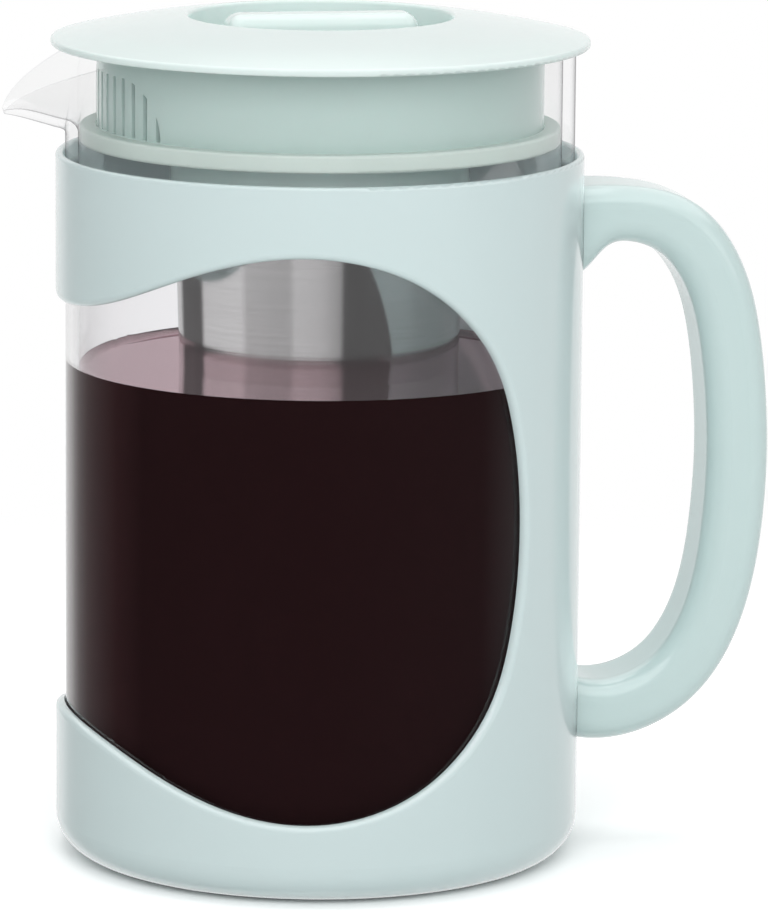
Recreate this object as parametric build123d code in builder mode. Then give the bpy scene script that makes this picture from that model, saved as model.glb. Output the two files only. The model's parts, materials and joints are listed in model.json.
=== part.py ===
from build123d import *
import os
from math import degrees, hypot

os.makedirs("parts", exist_ok=True)

# Cold brew jug: a windowed holder with a D-handle carries a glass carafe, and the
# lid carries a seal ring and the steel brew filter.  Millimetres, +Z up, the origin on
# the jug's axis where the foot stands.  Spout towards -X, handle towards +X.

# ---- holder ----
sleeve_radius = 62.0
sleeve_wall = 1.9
sleeve_height = 167.5
sleeve_rim_round = 0.9
base_round = 9.0
floor_thickness = 2.6
foot_lift = 0.6
foot_ring_inset = 15.0
foot_ring_width = 4.0
foot_groove_depth = 1.0
foot_ring_chamfer = 0.3

# ---- window in the holder, one opening that runs round the spout side ----
window_mid_height = 85.65
window_rise = 65.35
window_fall = 66.15
window_lower_fullness = 0.94
window_reach = 40.6
window_edge_round = 1.5

# ---- handle ----
handle_top = 152.5
handle_bottom = 33.5
handle_stand_off = 38.15
handle_root_thickness = 13.1
handle_thickness = 14.7
handle_tail_thickness = 14.3
handle_depth = 23.0
handle_root_depth = 26.0
handle_section_round = 5.2
handle_root_flare = 8.0
handle_stations = 30
screw_radius = 1.5
screw_head_radius = 2.8
screw_head_height = 1.4
screw_drive_radius = 1.3
screw_drive_depth = 0.9
screw_length = 14.0
screw_clearance = 0.1
screw_top_drop = 3.4

# ---- glass carafe ----
glass_gap = 0.4
glass_wall = 3.0
glass_floor = 4.0
glass_round = 8.0
glass_rim = 192.5
glass_rim_round = 1.1
cushion_thickness = 1.0
cushion_inset = 2.7
cushion_width = 15.0
spout_overhang = 15.5
spout_length = 22.0
spout_half_width = 27.4
spout_root_dip = 1.3
spout_drop = 16.0
spout_lip_depth = 1.0
spout_belly = 4.7
spout_wall = 2.2
spout_lip_share = 0.3
spout_root_round = 2.5

# ---- lid ----
lid_overhang = 1.1
lid_seat_gap = 0.1
lid_edge = 1.8
lid_crown = 7.1
lid_wall = 2.0
lid_round = 0.8
well_radius = 31.0
well_depth = 13.0
well_draft = 0.8
well_foot_round = 1.6
grip_length = 45.4
grip_width = 11.0
grip_rise = 0.5
grip_corner = 3.0
grip_round = 3.8
lid_crown_sagitta = 0.5
skirt_gap = 4.3
skirt_bottom = 170.6
flange_width = 2.4
flange_height = 1.4
skirt_underside_rise = 1.0
strainer_slots = 15
strainer_pitch = 5.0
strainer_slot_width = 1.5
strainer_sill = 174.2
strainer_top = 187.5
strainer_half_width = 30.7
strainer_flat = 18.0
hub_gap = 2.0
hub_length = 17.0

# ---- seal ring round the lid ----
seal_height = 4.2
seal_bottom = 169.8
seal_gap = 0.35
seal_slot_clearance = 0.3
seal_slot_float = 0.1
seal_round = 0.7

# ---- brew filter ----
bayonet_lugs = 3
lug_angle = 16.0
lug_height = 3.0
lug_reach = 1.8
lug_root = 0.6
lug_drop = 11.0
twist_angle = 30.0
running_gap = 0.3
collar_wall = 3.9
collar_height = 26.0
spigot_height = 9.0
filter_radius = 34.1
filter_sheet = 0.6
band_height = 62.0
band_taper = 1.8
mesh_height = 72.0
mesh_sheet = 0.5
seam_overlap = 5.0
base_cup_height = 14.0
base_cup_round = 2.5
press_gap = 0.05

# ---- places worked out from the sizes ----
floor_top = foot_lift + floor_thickness
foot_ring_radius = sleeve_radius - foot_ring_inset
handle_reach = sleeve_radius + handle_stand_off
sleeve_inner = sleeve_radius - sleeve_wall
base_inner_round = base_round - sleeve_wall
screw_seat_reach = (sleeve_inner ** 2 - screw_head_radius ** 2) ** 0.5
screw_seats = [Plane(origin=(screw_seat_reach, 0, height), x_dir=(0, 1, 0), z_dir=(-1, 0, 0))
               for height in (handle_bottom, handle_top - screw_top_drop)]
glass_radius = sleeve_inner - glass_gap
glass_bottom = floor_top + cushion_thickness
glass_inner = glass_radius - glass_wall
glass_inner_round = glass_round - glass_wall
cushion_radius = glass_radius - glass_round - cushion_inset
spout_reach = glass_radius + spout_overhang
spout_tip_height = glass_rim - spout_drop
lid_radius = sleeve_radius + lid_overhang
lid_seat = glass_rim + lid_seat_gap
lid_edge_top = glass_rim + lid_edge
lid_top = glass_rim + lid_crown
well_floor = lid_top - well_depth
hub_radius = well_radius + lid_wall - hub_gap
hub_inner = hub_radius - lid_wall
hub_top = well_floor - lid_wall
hub_bottom = hub_top - hub_length
skirt_radius = glass_inner - skirt_gap
skirt_inner = skirt_radius - lid_wall
dome_underside = lid_edge_top + skirt_underside_rise
flange_radius = skirt_radius + flange_width
flange_top = skirt_bottom + flange_height
strainer_rise = strainer_top - strainer_sill
strainer_shoulder = strainer_half_width - strainer_flat
strainer_start = -skirt_radius - lid_wall
strainer_plane = Plane(origin=(strainer_start, 0, strainer_sill), x_dir=(0, 1, 0), z_dir=(1, 0, 0))
collar_inner = hub_radius + running_gap
collar_outer = collar_inner + collar_wall
collar_top = hub_top - running_gap
collar_shoulder = collar_top - collar_height
lug_top = hub_top - lug_drop
band_bottom = collar_shoulder - band_height
filter_foot_radius = filter_radius - band_taper
mesh_radius = filter_foot_radius - filter_sheet - press_gap
mesh_top = band_bottom + seam_overlap
mesh_bottom = mesh_top - mesh_height
base_cup_bottom = mesh_bottom + seam_overlap - base_cup_height
spout_shares = [1.2, 1.0, 0.7, 0.46, 0.24, 0.1, 0.03]
spout_cut_top = glass_rim + 5


def radius_at(edge, place=0.35):
    """How far a point of an edge lies from the jug's axis."""
    point = edge @ place
    return hypot(point.X, point.Y)


def edges_on_radius(edges, radius):
    return edges.filter_by(lambda edge: abs(radius_at(edge) - radius) < 1e-3)


# ---- window cutter: the opening's patch of the sleeve, grown along its radii ----
# The upper half of the opening, seen along Y: a wave that climbs from the spout side and a full
# round end.  Shares of the way from the spout side to the reach, and of the rise.  The lower
# half mirrors it, a little fuller.
window_shape = [(-0.04, 0.707), (0.044, 0.764), (0.135, 0.844), (0.234, 0.921), (0.338, 0.975), (0.465, 1.0),
                (0.599, 0.976), (0.709, 0.915), (0.787, 0.841), (0.862, 0.734), (0.93, 0.581),
                (0.972, 0.39), (0.993, 0.199), (1.0, 0.0)]
window_length = sleeve_radius + window_reach
window_upper = [(along * window_length - sleeve_radius, up * window_rise) for along, up in window_shape]
window_lower = [(along * window_length - sleeve_radius, -up ** window_lower_fullness * window_fall)
                for along, up in reversed(window_shape[:-1])]
window_plane = Plane(origin=(0, 0, window_mid_height), x_dir=(1, 0, 0), z_dir=(0, -1, 0))
with BuildPart() as window_patch:
    Cylinder(sleeve_radius, sleeve_height, align=(Align.CENTER, Align.CENTER, Align.MIN))
    with BuildSketch(window_plane):
        with BuildLine():
            Spline(window_upper + window_lower)
            Line(window_lower[-1], window_upper[0])
        make_face()
    extrude(amount=sleeve_radius, both=True, mode=Mode.INTERSECT)

window_face = window_patch.faces().filter_by(GeomType.CYLINDER).sort_by(SortBy.AREA)[-1]
with BuildPart() as window_cutter:
    thicken(window_face, amount=2 * sleeve_wall, both=True)

# ---- holder sleeve: round-based cup with the window, a foot groove and two screw holes ----
with BuildPart() as holder_sleeve:
    with BuildSketch(Plane.XZ):
        with BuildLine():
            outer_corner = (sleeve_radius, foot_lift + base_round)
            inner_corner = (sleeve_inner, floor_top + base_inner_round)
            inner_foot = (sleeve_inner - base_inner_round, floor_top)
            Line((0, foot_lift), (sleeve_radius - base_round, foot_lift))
            RadiusArc((sleeve_radius - base_round, foot_lift), outer_corner, -base_round)
            Line(outer_corner, (sleeve_radius, sleeve_height))
            Line((sleeve_radius, sleeve_height), (sleeve_inner, sleeve_height))
            Line((sleeve_inner, sleeve_height), inner_corner)
            RadiusArc(inner_corner, inner_foot, base_inner_round)
            Line(inner_foot, (0, floor_top))
            Line((0, floor_top), (0, foot_lift))
        make_face()
    revolve(axis=Axis.Z)
    rim_edges = holder_sleeve.edges().filter_by(GeomType.CIRCLE).group_by(Axis.Z)[-1]
    fillet(rim_edges, min(sleeve_rim_round, 0.47 * sleeve_wall))
    add(window_cutter.part, mode=Mode.SUBTRACT)
    window_edges = edges_on_radius(holder_sleeve.edges(Select.LAST), sleeve_radius)
    fillet(window_edges.sort_by(Axis.Z), min(window_edge_round, 0.8 * sleeve_wall))
    with BuildSketch(Plane.XY.offset(foot_lift)):
        Circle(foot_ring_radius + foot_ring_width / 2)
        Circle(foot_ring_radius - foot_ring_width / 2, mode=Mode.SUBTRACT)
    extrude(amount=foot_groove_depth, mode=Mode.SUBTRACT)
    with Locations(*screw_seats):
        CounterSinkHole(screw_radius + screw_clearance, screw_head_radius + screw_clearance,
                        depth=2 * sleeve_wall, counter_sink_angle=90)

holder_sleeve.part.label = "holder_sleeve"
export_step(holder_sleeve.part, "parts/holder_sleeve.step")


# ---- handle: a D whose grip is thicker than its arch, seated on the sleeve ----
def handle_centre(out, up):
    """A point of the D's centreline, from its shares of the handle's reach and height."""
    reach = sleeve_radius + out * (handle_reach - sleeve_radius)
    height = handle_bottom + up * (handle_top - handle_bottom)
    return reach, height


def smooth_step(value, low, high):
    """0 below low, 1 above high, and a smooth rise between."""
    share = min(max((value - low) / (high - low), 0), 1)
    return share * share * (3 - 2 * share)


handle_shape = [(-0.121, 0.997), (0.249, 1.0), (0.604, 0.965), (0.831, 0.873), (0.938, 0.756),
                (0.984, 0.635), (1.0, 0.513), (0.983, 0.392), (0.932, 0.27), (0.82, 0.153),
                (0.603, 0.054), (0.262, 0.0), (-0.121, 0.014)]
with BuildLine() as handle_line:
    handle_curve = Spline([handle_centre(out, up) for out, up in handle_shape])

handle_outer = []
handle_inner = []
for station in range(handle_stations + 1):
    share = station / handle_stations
    centre = handle_curve @ share
    run = handle_curve % share
    outward = Vector(-run.Y, run.X)
    thickness = handle_root_thickness
    thickness += (handle_thickness - handle_root_thickness) * smooth_step(share, 0.08, 0.2)
    thickness += (handle_tail_thickness - handle_thickness) * smooth_step(share, 0.55, 0.75)
    flare = handle_root_flare * (1 - smooth_step(share, 0, 0.082))
    handle_outer.append(centre + outward * thickness / 2)
    handle_inner.append(centre - outward * (thickness / 2 + flare))

with BuildPart() as handle:
    with BuildSketch(Plane.XZ.offset(-handle_root_depth)):
        with BuildLine():
            Spline(handle_outer)
            Line(handle_outer[-1], handle_inner[-1])
            Spline(handle_inner)
            Line(handle_inner[0], handle_outer[0])
        make_face()
    extrude(amount=2 * handle_root_depth)
    with BuildSketch(Plane.XY):
        with BuildLine():
            root = handle_centre(handle_shape[0][0], 0)[0]
            taper_end = sleeve_radius + 0.62 * (handle_reach - sleeve_radius)
            tip = handle_reach + handle_thickness
            Line((root, handle_root_depth / 2), (root, -handle_root_depth / 2))
            Spline((root, handle_root_depth / 2), (taper_end, handle_depth / 2), (tip, handle_depth / 2),
                   tangents=[(1, 0), (1, 0)])
            Spline((root, -handle_root_depth / 2), (taper_end, -handle_depth / 2), (tip, -handle_depth / 2),
                   tangents=[(1, 0), (1, 0)])
            Line((tip, handle_depth / 2), (tip, -handle_depth / 2))
        make_face()
    extrude(amount=sleeve_height, mode=Mode.INTERSECT)
    long_edges = handle.edges().sort_by(SortBy.LENGTH)[-4:]
    fillet(long_edges, min(handle_section_round, 0.4 * handle_depth, 0.4 * handle_root_thickness))
    Cylinder(sleeve_radius + press_gap, sleeve_height, align=(Align.CENTER, Align.CENTER, Align.MIN),
             mode=Mode.SUBTRACT)
    with Locations(*screw_seats):
        Hole(screw_radius + screw_clearance, depth=screw_length + 1)

handle.part.label = "handle"
export_step(handle.part, "parts/handle.step")

# ---- handle screws: two countersunk screws from inside the sleeve, heads flush ----
with BuildPart() as handle_screws:
    for seat in screw_seats:
        with BuildSketch(seat):
            Circle(screw_head_radius)
        with BuildSketch(seat.offset(-screw_head_height)):
            Circle(screw_head_radius - screw_head_height + 0.1)
        loft()
        with BuildSketch(seat):
            Circle(screw_radius)
        extrude(amount=-screw_length)
        with BuildSketch(seat):
            RegularPolygon(screw_drive_radius, 6)
        extrude(amount=-screw_drive_depth, mode=Mode.SUBTRACT)

handle_screws.part.label = "handle_screws"
export_step(handle_screws.part, "parts/handle_screws.step")

# ---- foot ring: soft ring pressed into the groove under the holder ----
with BuildPart() as foot_ring:
    with BuildSketch(Plane.XY):
        Circle(foot_ring_radius + foot_ring_width / 2 - press_gap)
        Circle(foot_ring_radius - foot_ring_width / 2 + press_gap, mode=Mode.SUBTRACT)
    extrude(amount=foot_lift + foot_groove_depth)
    chamfer(foot_ring.edges().group_by(Axis.Z)[0], foot_ring_chamfer)

foot_ring.part.label = "foot_ring"
export_step(foot_ring.part, "parts/foot_ring.step")

# ---- carafe cushion: flat soft ring between the holder's floor and the glass ----
with BuildPart() as carafe_cushion:
    with BuildSketch(Plane.XY.offset(floor_top)):
        Circle(cushion_radius)
        Circle(cushion_radius - cushion_width, mode=Mode.SUBTRACT)
    extrude(amount=cushion_thickness)

carafe_cushion.part.label = "carafe_cushion"
export_step(carafe_cushion.part, "parts/carafe_cushion.step")


# ---- glass carafe: straight beaker with a drawn pouring spout ----
def spout_section(share):
    """Half-width, rim height and underside height of the spout; share is 1 where it leaves the
    body's rim and 0 at its tip."""
    half_width = spout_half_width * share ** 0.63
    rim = spout_tip_height + (glass_rim - spout_root_dip - spout_tip_height) * share ** 0.54
    underside = spout_tip_height + spout_lip_depth - spout_belly * (1 - (1 - share ** 1.5) ** 2)
    return half_width, rim, underside


def spout_roots(edges, radius):
    """The free-form edges where the spout leaves a wall of that radius."""
    return edges_on_radius(edges.filter_by(GeomType.BSPLINE), radius).sort_by(Axis.Z)


with BuildPart() as glass_bore:
    with BuildSketch(Plane.XZ):
        with BuildLine():
            bore_corner = (glass_inner, glass_bottom + glass_floor + glass_inner_round)
            bore_foot = (glass_inner - glass_inner_round, glass_bottom + glass_floor)
            Line((0, glass_bottom + glass_floor), bore_foot)
            RadiusArc(bore_foot, bore_corner, -glass_inner_round)
            Line(bore_corner, (glass_inner, spout_cut_top))
            Line((glass_inner, spout_cut_top), (0, spout_cut_top))
            Line((0, spout_cut_top), (0, glass_bottom + glass_floor))
        make_face()
    revolve(axis=Axis.Z)
    for share in spout_shares:
        half_width, rim, underside = spout_section(share)
        wall = spout_wall * min(1, share / spout_lip_share) ** 0.5
        reach = spout_reach - share * spout_length
        if share == spout_shares[-1]:
            reach = spout_reach + 1
        with BuildSketch(Plane(origin=(-reach, 0, rim), x_dir=(0, -1, 0), z_dir=(-1, 0, 0))):
            with BuildLine():
                channel_side = half_width - wall
                channel_depth = rim - underside - wall
                EllipticalCenterArc((0, 0), channel_side, channel_depth, start_angle=180, arc_size=180)
                Line((channel_side, 0), (channel_side, spout_cut_top - rim))
                Line((channel_side, spout_cut_top - rim), (-channel_side, spout_cut_top - rim))
                Line((-channel_side, spout_cut_top - rim), (-channel_side, 0))
            make_face()
    loft()
    fillet(spout_roots(glass_bore.edges(), glass_inner), spout_root_round + spout_wall)

with BuildPart() as glass_carafe:
    with BuildSketch(Plane.XZ):
        with BuildLine():
            glass_corner = (glass_radius, glass_bottom + glass_round)
            Line((0, glass_bottom), (glass_radius - glass_round, glass_bottom))
            RadiusArc((glass_radius - glass_round, glass_bottom), glass_corner, -glass_round)
            Line(glass_corner, (glass_radius, glass_rim))
            Line((glass_radius, glass_rim), (0, glass_rim))
            Line((0, glass_rim), (0, glass_bottom))
        make_face()
    revolve(axis=Axis.Z)
    for share in spout_shares:
        half_width, rim, underside = spout_section(share)
        reach = spout_reach - share * spout_length
        with BuildSketch(Plane(origin=(-reach, 0, rim), x_dir=(0, -1, 0), z_dir=(-1, 0, 0))):
            with BuildLine():
                EllipticalCenterArc((0, 0), half_width, rim - underside, start_angle=180, arc_size=180)
                Line((-half_width, 0), (half_width, 0))
            make_face()
    loft()
    fillet(spout_roots(glass_carafe.edges(), glass_radius)[0], spout_root_round)
    add(glass_bore.part, mode=Mode.SUBTRACT)
    with BuildSketch(Plane.XZ):
        with BuildLine():
            rim_low = glass_rim - glass_rim_round
            rim_outer = glass_radius + glass_rim_round
            rim_inner = glass_inner - glass_rim_round
            Line((rim_outer, rim_low), (glass_radius, rim_low))
            RadiusArc((glass_radius, rim_low), (glass_radius - glass_rim_round, glass_rim), -glass_rim_round)
            Line((glass_radius - glass_rim_round, glass_rim), (glass_inner + glass_rim_round, glass_rim))
            RadiusArc((glass_inner + glass_rim_round, glass_rim), (glass_inner, rim_low), -glass_rim_round)
            Polyline((glass_inner, rim_low), (rim_inner, rim_low), (rim_inner, spout_cut_top),
                     (rim_outer, spout_cut_top), (rim_outer, rim_low))
        make_face()
    revolve(axis=Axis.Z, mode=Mode.SUBTRACT)

glass_carafe.part.label = "glass_carafe"
export_step(glass_carafe.part, "parts/glass_carafe.step")


# ---- strainer cutter: upright slots, trimmed to a flat-topped outline with round shoulders ----
with BuildPart() as strainer_cutter:
    for slot in range(strainer_slots):
        slot_angle = 180 + (slot - (strainer_slots - 1) / 2) * strainer_pitch
        with BuildSketch(Plane.XY.offset(strainer_sill).rotated((0, 0, slot_angle))):
            with Locations((skirt_radius, 0)):
                Rectangle(3 * lid_wall, strainer_slot_width)
        extrude(amount=strainer_rise)
    with BuildSketch(strainer_plane):
        with BuildLine():
            Line((-strainer_half_width, 0), (strainer_half_width, 0))
            EllipticalCenterArc((strainer_flat, 0), strainer_shoulder, strainer_rise, arc_size=90)
            Line((strainer_flat, strainer_rise), (-strainer_flat, strainer_rise))
            EllipticalCenterArc((-strainer_flat, 0), strainer_shoulder, strainer_rise, start_angle=90,
                                arc_size=90)
        make_face()
    extrude(amount=skirt_radius, mode=Mode.INTERSECT)

# ---- lid: shallow dome with a finger well and grip bar, strainer skirt and bayonet hub ----
with BuildPart() as lid_cover:
    with BuildSketch(Plane.XZ):
        with BuildLine():
            crown = (well_radius, lid_top)
            well_wall = (well_radius + lid_wall, hub_top)
            ceiling = (well_radius + lid_wall, lid_top - lid_wall)
            Line((skirt_radius, lid_seat), (lid_radius, lid_seat))
            Line((lid_radius, lid_seat), (lid_radius, lid_edge_top))
            SagittaArc((lid_radius, lid_edge_top), crown, -lid_crown_sagitta)
            Line(crown, (well_radius - well_draft, well_floor))
            Line((well_radius - well_draft, well_floor), (0, well_floor))
            Line((0, well_floor), (0, hub_top))
            Line((0, hub_top), (hub_inner, hub_top))
            Line((hub_inner, hub_top), (hub_inner, hub_bottom))
            Line((hub_inner, hub_bottom), (hub_radius, hub_bottom))
            Line((hub_radius, hub_bottom), (hub_radius, hub_top))
            Line((hub_radius, hub_top), well_wall)
            Line(well_wall, ceiling)
            Line(ceiling, (skirt_inner, dome_underside))
            Line((skirt_inner, dome_underside), (skirt_inner, skirt_bottom))
            Line((skirt_inner, skirt_bottom), (flange_radius, skirt_bottom))
            Line((flange_radius, skirt_bottom), (flange_radius, flange_top))
            Line((flange_radius, flange_top), (skirt_radius, flange_top))
            Line((skirt_radius, flange_top), (skirt_radius, lid_seat))
        make_face()
    revolve(axis=Axis.Z)
    fillet(edges_on_radius(lid_cover.edges(), lid_radius), min(lid_round, 0.42 * lid_edge))
    fillet(edges_on_radius(lid_cover.edges(), well_radius).sort_by(Axis.Z)[-1], lid_round)
    well_foot = edges_on_radius(lid_cover.edges(), well_radius - well_draft).sort_by(Axis.Z)[-1]
    fillet(well_foot, well_foot_round)
    with BuildSketch(Plane.XY.offset(well_floor)):
        RectangleRounded(grip_length, grip_width, min(grip_corner, 0.45 * grip_width))
    extrude(amount=well_depth + grip_rise)
    fillet(lid_cover.edges().group_by(Axis.Z)[-1], min(grip_round, 0.42 * grip_width))
    add(strainer_cutter.part, mode=Mode.SUBTRACT)
    for lug in range(bayonet_lugs):
        lug_plane = Plane.XZ.rotated((0, 0, lug * 360 / bayonet_lugs))
        with BuildSketch(lug_plane):
            with Locations((hub_radius + lug_reach / 2 - lug_root / 2, lug_top - lug_height / 2)):
                Rectangle(lug_reach + lug_root, lug_height)
        revolve(axis=Axis.Z, revolution_arc=lug_angle)

lid_cover.part.label = "lid_cover"
export_step(lid_cover.part, "parts/lid_cover.step")

# ---- lid gasket: soft ring that grips the lid's flange and seals against the glass ----
with BuildPart() as lid_gasket:
    with BuildSketch(Plane.XZ):
        seal_outer = glass_inner - seal_gap
        seal_inner = skirt_radius + seal_slot_clearance
        with Locations(((seal_outer + seal_inner) / 2, seal_bottom + seal_height / 2)):
            Rectangle(seal_outer - seal_inner, seal_height)
        slot_outer = flange_radius + seal_slot_clearance
        slot_height = flange_height + 2 * seal_slot_float
        with Locations(((slot_outer + seal_inner) / 2, (skirt_bottom + flange_top) / 2)):
            Rectangle(slot_outer - seal_inner, slot_height, mode=Mode.SUBTRACT)
    revolve(axis=Axis.Z)
    seal_corners = edges_on_radius(lid_gasket.edges(), seal_outer)
    fillet(seal_corners, seal_round)

lid_gasket.part.label = "lid_gasket"
export_step(lid_gasket.part, "parts/lid_gasket.step")


# ---- brew filter: collar with bayonet slots, steel band, fine mesh tube and base cup ----
def ring_block(start_angle, span, inner, outer, bottom, top, mode):
    """A block of a ring round the jug's axis, added to or cut from the part in hand."""
    with BuildSketch(Plane.XZ.rotated((0, 0, start_angle))) as section:
        with Locations(((inner + outer) / 2, (bottom + top) / 2)):
            Rectangle(outer - inner, top - bottom)
    revolve(section.sketch, axis=Axis.Z, revolution_arc=span, mode=mode)


with BuildPart() as filter_collar:
    ring_block(0, 360, collar_inner, collar_outer, collar_shoulder, collar_top, Mode.ADD)
    spigot_bottom = collar_shoulder - spigot_height
    spigot_radius = filter_radius - band_taper * spigot_height / band_height - filter_sheet - press_gap
    ring_block(0, 360, collar_inner, spigot_radius, spigot_bottom, collar_shoulder, Mode.ADD)
    slot_play = degrees(running_gap / hub_radius)
    slot_depth = hub_radius + lug_reach + running_gap
    slot_bottom = lug_top - lug_height - running_gap
    for lug in range(bayonet_lugs):
        entry = lug * 360 / bayonet_lugs - twist_angle - slot_play
        entry_span = lug_angle + 2 * slot_play
        slot_span = entry_span + twist_angle
        slot_top = lug_top + running_gap
        ring_block(entry, entry_span, hub_radius, slot_depth, slot_bottom, collar_top + 1, Mode.SUBTRACT)
        ring_block(entry, slot_span, hub_radius, slot_depth, slot_bottom, slot_top, Mode.SUBTRACT)

filter_collar.part.label = "filter_collar"
export_step(filter_collar.part, "parts/filter_collar.step")

with BuildPart() as filter_band:
    with BuildSketch(Plane.XZ):
        with BuildLine():
            Polyline((filter_foot_radius, band_bottom), (filter_radius, collar_shoulder),
                     (filter_radius - filter_sheet, collar_shoulder),
                     (filter_foot_radius - filter_sheet, band_bottom), close=True)
        make_face()
    revolve(axis=Axis.Z)

filter_band.part.label = "filter_band"
export_step(filter_band.part, "parts/filter_band.step")

with BuildPart() as filter_mesh:
    with BuildSketch(Plane.XY.offset(mesh_bottom)):
        Circle(mesh_radius)
        Circle(mesh_radius - mesh_sheet, mode=Mode.SUBTRACT)
    extrude(amount=mesh_height)

filter_mesh.part.label = "filter_mesh"
export_step(filter_mesh.part, "parts/filter_mesh.step")

with BuildPart() as filter_base:
    with BuildSketch(Plane.XY.offset(base_cup_bottom)):
        Circle(filter_foot_radius)
    extrude(amount=base_cup_height)
    fillet(filter_base.edges().group_by(Axis.Z)[0], base_cup_round)
    offset(amount=-filter_sheet, openings=filter_base.faces().sort_by(Axis.Z)[-1])

filter_base.part.label = "filter_base"
export_step(filter_base.part, "parts/filter_base.step")
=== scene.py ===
import json
import math
import bpy
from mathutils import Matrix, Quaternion, Vector

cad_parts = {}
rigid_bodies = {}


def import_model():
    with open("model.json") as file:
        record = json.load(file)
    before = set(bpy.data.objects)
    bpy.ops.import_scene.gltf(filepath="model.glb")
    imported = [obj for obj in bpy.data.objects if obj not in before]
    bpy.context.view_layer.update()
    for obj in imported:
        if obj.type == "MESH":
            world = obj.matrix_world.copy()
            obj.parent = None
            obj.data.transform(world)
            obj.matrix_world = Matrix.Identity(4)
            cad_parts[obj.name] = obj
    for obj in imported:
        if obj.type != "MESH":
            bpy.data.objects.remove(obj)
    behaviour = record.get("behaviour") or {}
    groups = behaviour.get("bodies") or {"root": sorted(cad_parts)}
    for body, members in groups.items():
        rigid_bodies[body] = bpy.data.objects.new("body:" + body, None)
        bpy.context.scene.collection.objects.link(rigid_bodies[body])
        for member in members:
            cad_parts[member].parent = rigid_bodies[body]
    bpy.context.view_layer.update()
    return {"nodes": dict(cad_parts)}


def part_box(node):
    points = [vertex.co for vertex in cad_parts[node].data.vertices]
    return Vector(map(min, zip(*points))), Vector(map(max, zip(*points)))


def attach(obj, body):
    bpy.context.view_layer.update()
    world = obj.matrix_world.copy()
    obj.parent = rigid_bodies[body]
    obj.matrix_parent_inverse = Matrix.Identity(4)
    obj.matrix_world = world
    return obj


# Cold brew jug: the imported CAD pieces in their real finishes, the coffee, and a small white studio.
# Metres, Z up, spout towards -X, handle towards +X.

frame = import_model()
nodes = frame["nodes"]
print("frame loaded:", len(nodes), "CAD pieces")


def deselectAll():
    bpy.ops.object.select_all(action="DESELECT")


# ---- camera ----
cameraView = {
    "place": (-0.2590, -1.4649, 0.37116),
    "pan": -10.6255,  # degrees, about Z
    "tilt": 79.4666,
    "roll": 0.4567,
    "lens": 251.97,
    "farthest": 20.0,
}


def makeCamera(values):
    deselectAll()
    bpy.ops.object.camera_add(location=values["place"])
    camera = bpy.context.object
    camera.name = "studioCamera"
    pan = Quaternion((0, 0, 1), math.radians(values["pan"]))
    tilt = Quaternion((1, 0, 0), math.radians(values["tilt"]))
    roll = Quaternion((0, 0, 1), math.radians(values["roll"]))
    camera.rotation_mode = "QUATERNION"
    camera.rotation_quaternion = pan @ tilt @ roll
    camera.data.lens = values["lens"]
    camera.data.clip_end = values["farthest"]
    bpy.context.scene.camera = camera


makeCamera(cameraView)
print("camera set")


# ---- finishes ----
noiseDetail = {"cloud": 2.0, "haze": 4.0, "peel": 1.0, "ripple": 1.0, "grain": 5.0}
blendSpan = (0.35, 0.65)  # the stretch of the noise over which one colour gives way to the other


def newFinish(name):
    finish = bpy.data.materials.new(name)
    finish.use_nodes = True
    tree = finish.node_tree
    shader = tree.nodes["Principled BSDF"]
    return finish, tree, shader


def addNode(tree, kind, **settings):
    node = tree.nodes.new(kind)
    for setting, value in settings.items():
        setattr(node, setting, value)
    return node


def setShader(shader, values):
    for socket, value in values.items():
        shader.inputs[socket].default_value = value


def noiseOf(tree, scale, detail):
    place = addNode(tree, "ShaderNodeTexCoord")
    noise = addNode(tree, "ShaderNodeTexNoise")
    noise.inputs["Scale"].default_value = scale
    noise.inputs["Detail"].default_value = detail
    tree.links.new(place.outputs["Object"], noise.inputs["Vector"])
    return noise


def blendColours(tree, factor, first, second):
    ramp = addNode(tree, "ShaderNodeValToRGB")
    for element, position, colour in zip(ramp.color_ramp.elements, blendSpan, (first, second)):
        element.position = position
        element.color = (*colour, 1)
    tree.links.new(factor, ramp.inputs["Fac"])
    return ramp.outputs["Color"]


def fillRamp(ramp, stops):
    elements = ramp.color_ramp.elements
    while len(elements) < len(stops):
        elements.new(0.5)
    for element, (position, level) in zip(elements, stops):
        element.position = position
        element.color = (level, level, level, 1)


def rangeOf(tree, factor, low, high):
    spread = addNode(tree, "ShaderNodeMapRange")
    spread.inputs["To Min"].default_value = low
    spread.inputs["To Max"].default_value = high
    tree.links.new(factor, spread.inputs["Value"])
    return spread.outputs["Result"]


def along(tree, axis, ends):
    place = addNode(tree, "ShaderNodeTexCoord")
    axes = addNode(tree, "ShaderNodeSeparateXYZ")
    tree.links.new(place.outputs["Object"], axes.inputs["Vector"])
    share = addNode(tree, "ShaderNodeMapRange")
    share.inputs["From Min"].default_value = ends[0]
    share.inputs["From Max"].default_value = ends[1]
    tree.links.new(axes.outputs[axis], share.inputs["Value"])
    return share.outputs["Result"]


def mixColours(tree, share, first, second):
    layer = addNode(tree, "ShaderNodeMix", data_type="RGBA")
    layer.inputs["A"].default_value = (*first, 1)
    layer.inputs["B"].default_value = (*second, 1)
    tree.links.new(share, layer.inputs["Factor"])
    return layer.outputs["Result"]


def addBump(tree, shader, height, strength, distance):
    bump = addNode(tree, "ShaderNodeBump")
    bump.inputs["Strength"].default_value = strength
    bump.inputs["Distance"].default_value = distance
    tree.links.new(height, bump.inputs["Height"])
    tree.links.new(bump.outputs["Normal"], shader.inputs["Normal"])


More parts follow.
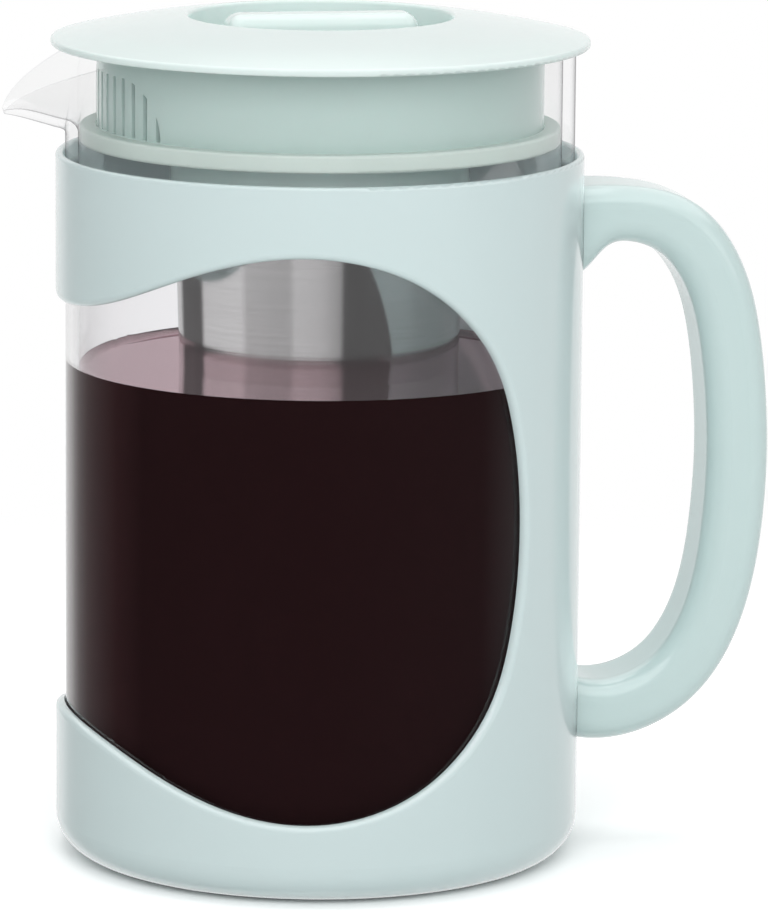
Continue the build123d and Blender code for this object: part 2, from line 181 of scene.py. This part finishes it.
def mouldedPlastic(name, values):
    finish, tree, shader = newFinish(name)
    setShader(shader, values["shader"])
    cloud = noiseOf(tree, values["cloudScale"], noiseDetail["cloud"])
    colour = blendColours(tree, cloud.outputs["Fac"], values["colour"], values["colourDeep"])
    if "skirtPaintedShade" in values:  # painted shade: the skirt is drawn a shade darker than the thin dome over it, standing in for the shade it sits in under the lid's rim and behind the glass
        untinted = (1, 1, 1)
        tint = mixColours(tree, along(tree, "Z", values["skirtPaintedShadeBelow"]), values["skirtPaintedShade"], untinted)
        paintSkirtShade = addNode(tree, "ShaderNodeVectorMath", operation="MULTIPLY")
        tree.links.new(colour, paintSkirtShade.inputs[0])
        tree.links.new(tint, paintSkirtShade.inputs[1])
        colour = paintSkirtShade.outputs["Vector"]
    tree.links.new(colour, shader.inputs["Base Color"])
    haze = noiseOf(tree, values["hazeScale"], noiseDetail["haze"])
    low, high = values["roughness"]
    tree.links.new(rangeOf(tree, haze.outputs["Fac"], low, high), shader.inputs["Roughness"])
    peel = noiseOf(tree, values["peelScale"], noiseDetail["peel"])
    addBump(tree, shader, peel.outputs["Fac"], values["peelStrength"], values["peelDepth"])
    return finish


holderFinish = {
    "colour": (0.600, 0.708, 0.710),
    "colourDeep": (0.590, 0.698, 0.700),
    "cloudScale": 14.0,
    "hazeScale": 60.0,
    "roughness": (0.10, 0.16),
    "peelScale": 520.0,
    "peelStrength": 0.05,
    "peelDepth": 0.0002,
    "shader": {
        "IOR": 1.5,
        "Coat Weight": 0.25,
        "Coat Roughness": 0.03,
        "Subsurface Weight": 0.06,
        "Subsurface Radius": (0.4, 0.5, 0.5),
        "Subsurface Scale": 0.004,
    },
}
handleFinish = dict(holderFinish, colour=(0.562, 0.690, 0.680), colourDeep=(0.552, 0.680, 0.670))
# painted light: the collar is coloured paler than the holder's plastic, standing in for light that hardly
# reaches it inside the jug
collarPaintedLightFinish = dict(holderFinish, colour=(0.780, 0.900, 0.870), colourDeep=(0.770, 0.890, 0.860))
lidFinish = {
    "colour": (0.685, 0.785, 0.765),
    "colourDeep": (0.675, 0.775, 0.755),
    "cloudScale": 16.0,
    # painted shade on the skirt: the colour the skirt's own colour is multiplied by
    "skirtPaintedShade": (0.79, 0.85, 0.835),
    "skirtPaintedShadeBelow": (0.1915, 0.1925),  # heights between which the painted shade fades out
    "hazeScale": 70.0,
    "roughness": (0.13, 0.18),
    "peelScale": 600.0,
    "peelStrength": 0.05,
    "peelDepth": 0.0002,
    "shader": {
        "IOR": 1.5,
        "Subsurface Weight": 0.25,
        "Subsurface Radius": (0.8, 1.0, 0.95),
        "Subsurface Scale": 0.004,
    },
}
sealFinish = {
    "colour": (0.635, 0.725, 0.685),
    "colourDeep": (0.605, 0.695, 0.655),
    "cloudScale": 40.0,
    "hazeScale": 200.0,
    "roughness": (0.32, 0.42),
    "peelScale": 900.0,
    "peelStrength": 0.06,
    "peelDepth": 0.0002,
    "shader": {
        "IOR": 1.42,
        "Subsurface Weight": 0.3,
        "Subsurface Radius": (0.9, 1.0, 1.0),
        "Subsurface Scale": 0.004,
    },
}
rubberFinish = {
    "colour": (0.42, 0.55, 0.53),
    "colourDeep": (0.38, 0.50, 0.48),
    "cloudScale": 50.0,
    "hazeScale": 300.0,
    "roughness": (0.55, 0.7),
    "peelScale": 1400.0,
    "peelStrength": 0.15,
    "peelDepth": 0.0002,
    "shader": {"IOR": 1.45},
}


def polishedSteel(name, values):
    finish, tree, shader = newFinish(name)
    setShader(shader, values["shader"])
    place = addNode(tree, "ShaderNodeTexCoord")
    grain = addNode(tree, "ShaderNodeMapping")
    grain.inputs["Scale"].default_value = values["grainScale"]
    streaks = addNode(tree, "ShaderNodeTexNoise")
    streaks.inputs["Scale"].default_value = 1.0  # the grain's own scale is set by the mapping
    streaks.inputs["Detail"].default_value = noiseDetail["grain"]
    tree.links.new(place.outputs["Object"], grain.inputs["Vector"])
    tree.links.new(grain.outputs["Vector"], streaks.inputs["Vector"])
    low, high = values["roughness"]
    tree.links.new(rangeOf(tree, streaks.outputs["Fac"], low, high), shader.inputs["Roughness"])
    colour = blendColours(tree, streaks.outputs["Fac"], values["colour"], values["colourDeep"])
    tree.links.new(colour, shader.inputs["Base Color"])
    addBump(tree, shader, streaks.outputs["Fac"], values["grainStrength"], values["grainDepth"])
    return finish


steelFinish = {
    "colour": (0.66, 0.655, 0.65),
    "colourDeep": (0.62, 0.615, 0.61),
    "grainScale": (30.0, 30.0, 2600.0),  # streaks that run round the tube
    "grainStrength": 0.03,
    "grainDepth": 0.0002,
    "roughness": (0.07, 0.14),
    "shader": {"Metallic": 1.0},
}
screwFinish = {
    "colour": (0.58, 0.575, 0.57),
    "colourDeep": (0.50, 0.495, 0.49),
    "grainScale": (400.0, 400.0, 400.0),
    "grainStrength": 0.05,
    "grainDepth": 0.0002,
    "roughness": (0.25, 0.4),
    "shader": {"Metallic": 1.0},
}

wovenFinish = {
    "colour": (0.60, 0.59, 0.58),
    "holeColour": (0.06, 0.058, 0.055),
    "wiresAround": 420.0,
    "wireStep": 0.00046,
    "weaveStrength": 0.5,
    "weaveDepth": 0.0002,
    "shader": {"Metallic": 1.0, "Roughness": 0.3},
}


def wovenSteel(name, values):
    # fine square mesh: waves round the tube and up it, low where a hole is
    finish, tree, shader = newFinish(name)
    setShader(shader, values["shader"])
    place = addNode(tree, "ShaderNodeTexCoord")
    axes = addNode(tree, "ShaderNodeSeparateXYZ")
    turn = addNode(tree, "ShaderNodeMath", operation="ARCTAN2")
    tree.links.new(place.outputs["Object"], axes.inputs["Vector"])
    tree.links.new(axes.outputs["Y"], turn.inputs[0])
    tree.links.new(axes.outputs["X"], turn.inputs[1])
    waves = []
    for source, rate in ((turn.outputs["Value"], values["wiresAround"]),
                         (axes.outputs["Z"], 2 * math.pi / values["wireStep"])):
        phase = addNode(tree, "ShaderNodeMath", operation="MULTIPLY")
        phase.inputs[1].default_value = rate
        wave = addNode(tree, "ShaderNodeMath", operation="COSINE")
        tree.links.new(source, phase.inputs[0])
        tree.links.new(phase.outputs["Value"], wave.inputs[0])
        waves.append(wave.outputs["Value"])
    wire = addNode(tree, "ShaderNodeMath", operation="MAXIMUM")
    tree.links.new(waves[0], wire.inputs[0])
    tree.links.new(waves[1], wire.inputs[1])
    height = rangeOf(tree, wire.outputs["Value"], 0.0, 1.0)
    colour = blendColours(tree, height, values["holeColour"], values["colour"])
    tree.links.new(colour, shader.inputs["Base Color"])
    addBump(tree, shader, height, values["weaveStrength"], values["weaveDepth"])
    return finish


def clearGlass(name, values):
    finish, tree, shader = newFinish(name)
    setShader(shader, values["shader"])
    ripple = noiseOf(tree, values["rippleScale"], noiseDetail["ripple"])
    addBump(tree, shader, ripple.outputs["Fac"], values["rippleStrength"], values["rippleDepth"])
    # the open rim and spout are drawn thin: clear face on and shinier where the wall turns away, where the
    # see-through colour is also painted darker, a painted shade standing in for the dark edge lines that
    # refraction draws
    turned = addNode(tree, "ShaderNodeLayerWeight")
    turned.inputs["Blend"].default_value = values["turnedBlend"]
    tint = addNode(tree, "ShaderNodeValToRGB")
    fillRamp(tint, values["thinTintAndEdgeShade"])
    tree.links.new(turned.outputs["Facing"], tint.inputs["Fac"])
    clear = addNode(tree, "ShaderNodeBsdfTransparent")
    tree.links.new(tint.outputs["Color"], clear.inputs["Color"])
    sheen = addNode(tree, "ShaderNodeBsdfAnisotropic")
    sheen.inputs["Roughness"].default_value = values["sheenRoughness"]
    sheen.inputs["Color"].default_value = (*values["thinSheen"], 1)
    steep = addNode(tree, "ShaderNodeMath", operation="POWER")
    steep.inputs[1].default_value = values["sheenSteepness"]
    tree.links.new(turned.outputs["Facing"], steep.inputs[0])
    thin = addNode(tree, "ShaderNodeMixShader")
    low, high = values["sheenShare"]
    tree.links.new(rangeOf(tree, steep.outputs["Value"], low, high), thin.inputs["Fac"])
    tree.links.new(clear.outputs["BSDF"], thin.inputs[1])
    tree.links.new(sheen.outputs["BSDF"], thin.inputs[2])
    # light that enters a wall thin leaves it thin, so faces met from within the glass change lower down
    within = addNode(tree, "ShaderNodeNewGeometry")
    reach = addNode(tree, "ShaderNodeMix")
    tree.links.new(within.outputs["Backfacing"], reach.inputs["Factor"])
    tree.links.new(along(tree, "Z", values["thinAbove"]), reach.inputs["A"])
    tree.links.new(along(tree, "Z", values["thinAboveBehind"]), reach.inputs["B"])
    blend = addNode(tree, "ShaderNodeMixShader")
    tree.links.new(reach.outputs["Result"], blend.inputs["Fac"])
    tree.links.new(shader.outputs["BSDF"], blend.inputs[1])
    tree.links.new(thin.outputs["Shader"], blend.inputs[2])
    tree.links.new(blend.outputs["Shader"], tree.nodes["Material Output"].inputs["Surface"])
    return finish


glassFinish = {
    "rippleScale": 22.0,
    "rippleStrength": 0.05,
    "rippleDepth": 0.0006,
    "turnedBlend": 0.5,
    "thinAbove": (0.1650, 0.1665),  # heights between which the thin look takes over
    "thinAboveBehind": (0.1610, 0.1640),
    # see-through colour by facing: a faint glass tint face on, then painted shade towards the edges
    "thinTintAndEdgeShade": [(0.0, 0.993), (0.82, 0.985), (0.90, 0.78), (0.95, 0.40), (1.0, 0.05)],
    "thinSheen": (0.80, 0.80, 0.82),
    "sheenShare": (0.03, 0.36),
    "sheenSteepness": 5.0,
    "sheenRoughness": 0.02,
    "shader": {
        "Base Color": (0.968, 0.964, 0.974, 1),
        "Roughness": 0.0,
        "IOR": 1.474,
        "Transmission Weight": 1.0,
    },
}


def dress(node, finish):
    for slot in nodes[node].material_slots:
        slot.material = finish


dress("holder_sleeve", mouldedPlastic("holderPlastic", holderFinish))
dress("handle", mouldedPlastic("handlePlastic", handleFinish))
dress("filter_collar", mouldedPlastic("collarPaintedLightPlastic", collarPaintedLightFinish))
dress("lid_cover", mouldedPlastic("lidPlastic", lidFinish))
dress("lid_gasket", mouldedPlastic("sealSilicone", sealFinish))
dress("foot_ring", mouldedPlastic("footRubber", rubberFinish))
dress("carafe_cushion", mouldedPlastic("cushionRubber", rubberFinish))
dress("handle_screws", polishedSteel("screwSteel", screwFinish))
bandSteel = polishedSteel("filterSteel", steelFinish)
dress("filter_band", bandSteel)
dress("filter_base", bandSteel)
dress("filter_mesh", wovenSteel("meshSteel", wovenFinish))
dress("glass_carafe", clearGlass("carafeGlass", glassFinish))
nodes["glass_carafe"].visible_shadow = False  # lamplight passes the clear wall
print("CAD pieces dressed")


# ---- coffee: fills the carafe to its level and climbs the glass a little at its edge ----
coffeeFill = {
    "level": 0.1181,
    "wall": 0.0030,  # glass wall
    "overlap": 0.0001,  # into the glass, so that no gap shows
    "floorOver": 0.0082,
    "floorRound": 0.005,
    "floorRoundSteps": 6,
    "meniscus": 0.0012,
    "meniscusDrops": (0.6, 0.3),  # how far each ring sinks, as shares of the meniscus
    "sides": 192,
    "endFace": 0.9,  # upward share of a normal from which a face is an end of the cylinder
    "openFace": 0.5,  # and from which it is the open surface
    "smoothBelow": 60,  # degrees
    # painted light towards the spout side: where the lighter red begins and ends along X, and that colour
    "paintedGlowAt": (-0.0605, -0.046),  # along X
    "paintedGlowColour": (0.075, 0.036, 0.038),
    "deepColour": (0.022, 0.009, 0.0100),
    "body": {"Roughness": 0.4, "Specular IOR Level": 0.0},
    "surface": {
        "Base Color": (0.46, 0.34, 0.36, 1),
        "Metallic": 1.0,
        "Roughness": 0.03,
        "Specular Tint": (1.0, 0.86, 0.90, 1),
    },
}


def makeCoffee(values):
    low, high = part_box("glass_carafe")
    radius = high[1] - values["wall"] + values["overlap"]
    height = values["level"] - values["floorOver"]
    deselectAll()
    bpy.ops.mesh.primitive_cylinder_add(vertices=values["sides"], radius=radius, depth=height,
                                        location=(0, 0, values["floorOver"] + height / 2))
    coffee = bpy.context.object
    coffee.name = "coffee"
    bpy.ops.object.transform_apply(location=True, rotation=True, scale=True)
    mesh = coffee.data
    bpy.ops.object.mode_set(mode="EDIT")
    bpy.ops.mesh.select_mode(type="FACE")
    for side in (1, -1):
        bpy.ops.mesh.select_all(action="DESELECT")
        bpy.ops.object.mode_set(mode="OBJECT")
        for face in mesh.polygons:
            face.select = face.normal.z * side > values["endFace"]
        bpy.ops.object.mode_set(mode="EDIT")
        if side > 0:
            for drop in values["meniscusDrops"]:
                bpy.ops.mesh.inset(thickness=values["meniscus"])
                bpy.ops.transform.translate(value=(0, 0, -values["meniscus"] * drop))
            bpy.ops.mesh.inset(thickness=values["meniscus"])
        else:
            bpy.ops.mesh.region_to_loop()
            bpy.ops.mesh.bevel(offset=values["floorRound"], segments=values["floorRoundSteps"])
    bpy.ops.object.mode_set(mode="OBJECT")
    bpy.ops.object.shade_smooth_by_angle(angle=math.radians(values["smoothBelow"]))
    body, tree, shader = newFinish("coffeeDark")
    setShader(shader, values["body"])
    # painted light: towards the spout side the coffee's colour turns lighter and redder, standing in for
    # light shining through its thin edge
    deep = along(tree, "X", values["paintedGlowAt"])
    colour = mixColours(tree, deep, values["paintedGlowColour"], values["deepColour"])
    tree.links.new(colour, shader.inputs["Base Color"])
    surface, tree, shader = newFinish("coffeeSurface")
    setShader(shader, values["surface"])
    mesh.materials.append(body)
    mesh.materials.append(surface)
    for face in mesh.polygons:
        face.material_index = 1 if face.normal.z > values["openFace"] else 0
    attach(coffee, "carafe")


makeCoffee(coffeeFill)
print("coffee poured")


# ---- studio: pale floor, white surroundings and soft lamps ----
floorSheet = {
    "width": 12.0,
    "litColour": 0.86,  # as it lights the jug
    "shownColour": 1.30,  # as the camera sees it
    "shadowReach": (0.16, 0.42),  # from the jug's axis
    "mirrorDepth": 0.5,
}


def makeFloor(values):
    deselectAll()
    bpy.ops.mesh.primitive_plane_add(size=values["width"], location=(0, 0, 0))
    floor = bpy.context.object
    floor.name = "studioFloor"
    finish = bpy.data.materials.new("floorPaper")
    finish.use_nodes = True
    tree = finish.node_tree
    tree.nodes.clear()
    path = addNode(tree, "ShaderNodeLightPath")
    seen = addNode(tree, "ShaderNodeMath", operation="ADD", use_clamp=True)
    tree.links.new(path.outputs["Is Camera Ray"], seen.inputs[0])
    tree.links.new(path.outputs["Is Transmission Ray"], seen.inputs[1])
    shade = rangeOf(tree, seen.outputs["Value"], values["litColour"], values["shownColour"])
    paper = addNode(tree, "ShaderNodeBsdfDiffuse")
    tree.links.new(shade, paper.inputs["Color"])
    white = addNode(tree, "ShaderNodeEmission")
    # away from the jug the floor fades to plain white
    place = addNode(tree, "ShaderNodeTexCoord")
    away = addNode(tree, "ShaderNodeVectorMath", operation="LENGTH")
    tree.links.new(place.outputs["Object"], away.inputs[0])
    fade = addNode(tree, "ShaderNodeMapRange", interpolation_type="SMOOTHSTEP")
    fade.inputs["From Min"].default_value = values["shadowReach"][0]
    fade.inputs["From Max"].default_value = values["shadowReach"][1]
    tree.links.new(away.outputs["Value"], fade.inputs["Value"])
    fadeSeen = addNode(tree, "ShaderNodeMath", operation="MULTIPLY")
    tree.links.new(fade.outputs["Result"], fadeSeen.inputs[0])
    tree.links.new(seen.outputs["Value"], fadeSeen.inputs[1])
    mixPaper = addNode(tree, "ShaderNodeMixShader")
    tree.links.new(fadeSeen.outputs["Value"], mixPaper.inputs["Fac"])
    tree.links.new(paper.outputs["BSDF"], mixPaper.inputs[1])
    tree.links.new(white.outputs["Emission"], mixPaper.inputs[2])
    # mirrored rays pass through to the studio round it
    mirrored = addNode(tree, "ShaderNodeMath", operation="GREATER_THAN")
    mirrored.inputs[1].default_value = values["mirrorDepth"]
    tree.links.new(path.outputs["Glossy Depth"], mirrored.inputs[0])
    gone = addNode(tree, "ShaderNodeBsdfTransparent")
    mixGone = addNode(tree, "ShaderNodeMixShader")
    tree.links.new(mirrored.outputs["Value"], mixGone.inputs["Fac"])
    tree.links.new(mixPaper.outputs["Shader"], mixGone.inputs[1])
    tree.links.new(gone.outputs["BSDF"], mixGone.inputs[2])
    out = addNode(tree, "ShaderNodeOutputMaterial")
    tree.links.new(mixGone.outputs["Shader"], out.inputs["Surface"])
    floor.data.materials.append(finish)


makeFloor(floorSheet)

studioWorld = {
    "ambient": 0.62,
    # brightness by direction round the jug, in degrees: -90 is in front of it, 90 behind it
    "surround": [
        (-180, 0.02), (-100, 0.02), (-20, 0.06), (20, 0.6), (60, 1.0), (108, 1.0), (120, 0.5), (131, 0.27),
        (141, 0.17), (157, 0.02), (180, 0.02),
    ],
    "panels": [
        (-180, 0.9), (-166, 0.9), (-160, 0.62), (-124, 0.55), (-119, 0.78), (-98, 0.68), (-83, 0.45),
        (-80, 0.1), (-33, 0.1), (-31, 0.33), (26, 0.27), (28, 0.08), (58, 0.1), (64, 0.74), (108, 0.74),
        (117, 0.14), (149, 0.10), (154, 0.85), (180, 0.9),
    ],
    "inGlass": [(-180, 0.85), (-60, 0.75), (60, 0.85), (180, 0.85)],
    "softboxFrom": (0.42, 0.62),  # height on the sky where the softbox overhead begins
    "softbox": 2.1,
    "overhead": [(0.0, 1.0), (0.45, 1.0), (0.8, 0.4), (1.0, 0.35)],  # by height on the sky, through glass
    # depths past which a ray counts as mirrored, as inside the glass wall, and as inside the jug
    "mirrorDepth": 0.5,
    "wallDepth": 0.5,
    "jugDepth": 3.5,
}


def makeWorld(values):
    world = bpy.data.worlds.new("studioWorld")
    bpy.context.scene.world = world
    world.use_nodes = True
    tree = world.node_tree
    tree.nodes.clear()
    place = addNode(tree, "ShaderNodeTexCoord")
    axes = addNode(tree, "ShaderNodeSeparateXYZ")
    tree.links.new(place.outputs["Generated"], axes.inputs["Vector"])
    turn = addNode(tree, "ShaderNodeMath", operation="ARCTAN2")
    tree.links.new(axes.outputs["Y"], turn.inputs[0])
    tree.links.new(axes.outputs["X"], turn.inputs[1])
    around = addNode(tree, "ShaderNodeMapRange")
    around.inputs["From Min"].default_value = -math.pi
    around.inputs["From Max"].default_value = math.pi
    tree.links.new(turn.outputs["Value"], around.inputs["Value"])
    path = addNode(tree, "ShaderNodeLightPath")

    def levels(stops, source):
        ramp = addNode(tree, "ShaderNodeValToRGB")
        fillRamp(ramp, stops)
        tree.links.new(source, ramp.inputs["Fac"])
        ground = addNode(tree, "ShaderNodeBackground")
        tree.links.new(ramp.outputs["Color"], ground.inputs["Color"])
        return ground.outputs["Background"]

    def plainLevel(strength):
        ground = addNode(tree, "ShaderNodeBackground")
        ground.inputs["Color"].default_value = (1, 1, 1, 1)
        ground.inputs["Strength"].default_value = strength
        return ground.outputs["Background"]

    def above(source, limit):
        test = addNode(tree, "ShaderNodeMath", operation="GREATER_THAN")
        test.inputs[1].default_value = limit
        tree.links.new(source, test.inputs[0])
        return test.outputs["Value"]

    def choose(factor, first, second):
        mix = addNode(tree, "ShaderNodeMixShader")
        tree.links.new(factor, mix.inputs["Fac"])
        tree.links.new(first, mix.inputs[1])
        tree.links.new(second, mix.inputs[2])
        return mix.outputs["Shader"]

    def byDegrees(stops):
        return [((degrees + 180) / 360, level) for degrees, level in stops]

    # seen in a mirror: the surround from outside the glass, soft white in its wall, the panels in the jug
    turns = around.outputs["Result"]
    passed = path.outputs["Transmission Depth"]
    inner = choose(above(passed, values["jugDepth"]), levels(byDegrees(values["inGlass"]), turns),
                   levels(byDegrees(values["panels"]), turns))
    softboxShare = addNode(tree, "ShaderNodeMapRange", interpolation_type="SMOOTHSTEP")
    softboxShare.inputs["From Min"].default_value = values["softboxFrom"][0]
    softboxShare.inputs["From Max"].default_value = values["softboxFrom"][1]
    tree.links.new(axes.outputs["Z"], softboxShare.inputs["Value"])
    outside = choose(softboxShare.outputs["Result"], levels(byDegrees(values["surround"]), turns),
                     plainLevel(values["softbox"]))
    mirror = choose(above(passed, values["wallDepth"]), outside, inner)
    through = levels(values["overhead"], axes.outputs["Z"])
    light = choose(path.outputs["Is Transmission Ray"], plainLevel(values["ambient"]), through)
    light = choose(above(path.outputs["Glossy Depth"], values["mirrorDepth"]), light, mirror)
    light = choose(path.outputs["Is Camera Ray"], light, plainLevel(1.0))
    out = addNode(tree, "ShaderNodeOutputWorld")
    tree.links.new(light, out.inputs["Surface"])


makeWorld(studioWorld)

lampAim = (0, 0, 0.1)
studioLamps = [
    {"name": "keyLamp", "place": (-0.30, -1.7, 0.95), "size": 1.3, "power": 16.0, "mirrored": False},
    {"name": "fillLamp", "place": (1.2, -1.2, 0.6), "size": 0.8, "power": 1.8, "mirrored": True},
    {"name": "topLamp", "place": (0.0, 0.2, 1.5), "size": 1.0, "power": 4.4, "mirrored": True},
]
innerGlow = {
    "place": (0, 0, 0.150),
    "radius": 0.02,
    "power": 0.12,
    "lights": ("holder_sleeve", "filter_collar", "lid_gasket"),
}


def makeLamp(values, lit):
    deselectAll()
    bpy.ops.object.light_add(type="AREA", location=values["place"])
    lamp = bpy.context.object
    lamp.name = values["name"]
    lamp.data.size = values["size"]
    lamp.data.energy = values["power"]
    towards = Vector(lampAim) - Vector(values["place"])
    lamp.rotation_euler = towards.to_track_quat("-Z", "Y").to_euler()
    lamp.light_linking.receiver_collection = lit
    lamp.visible_glossy = values["mirrored"]


# the lamps light everything but the clear glass and the bright steel, which mirror the studio alone
litPieces = bpy.data.collections.new("litPieces")
unlitPieces = [nodes[name] for name in ("glass_carafe", "filter_band", "filter_base", "filter_mesh")]
for thing in bpy.context.scene.objects:
    if thing.type == "MESH" and thing not in unlitPieces:
        litPieces.objects.link(thing)
for lampValues in studioLamps:
    makeLamp(lampValues, litPieces)


def makeInnerGlow(values):
    # stands for the light that bounces about inside the pale walls; only the floor stops it
    deselectAll()
    bpy.ops.object.light_add(type="POINT", location=values["place"])
    lamp = bpy.context.object
    lamp.name = "innerGlow"
    lamp.data.shadow_soft_size = values["radius"]
    lamp.data.energy = values["power"]
    lit = bpy.data.collections.new("innerWalls")
    for name in values["lights"]:
        lit.objects.link(nodes[name])
    blockers = bpy.data.collections.new("innerBlockers")
    blockers.objects.link(bpy.data.objects["studioFloor"])
    lamp.light_linking.receiver_collection = lit
    lamp.light_linking.blocker_collection = blockers
    lamp.visible_glossy = False
    lamp.visible_transmission = False
    lamp.visible_camera = False


makeInnerGlow(innerGlow)
bpy.context.scene.view_settings.view_transform = "Standard"
print("studio lit")
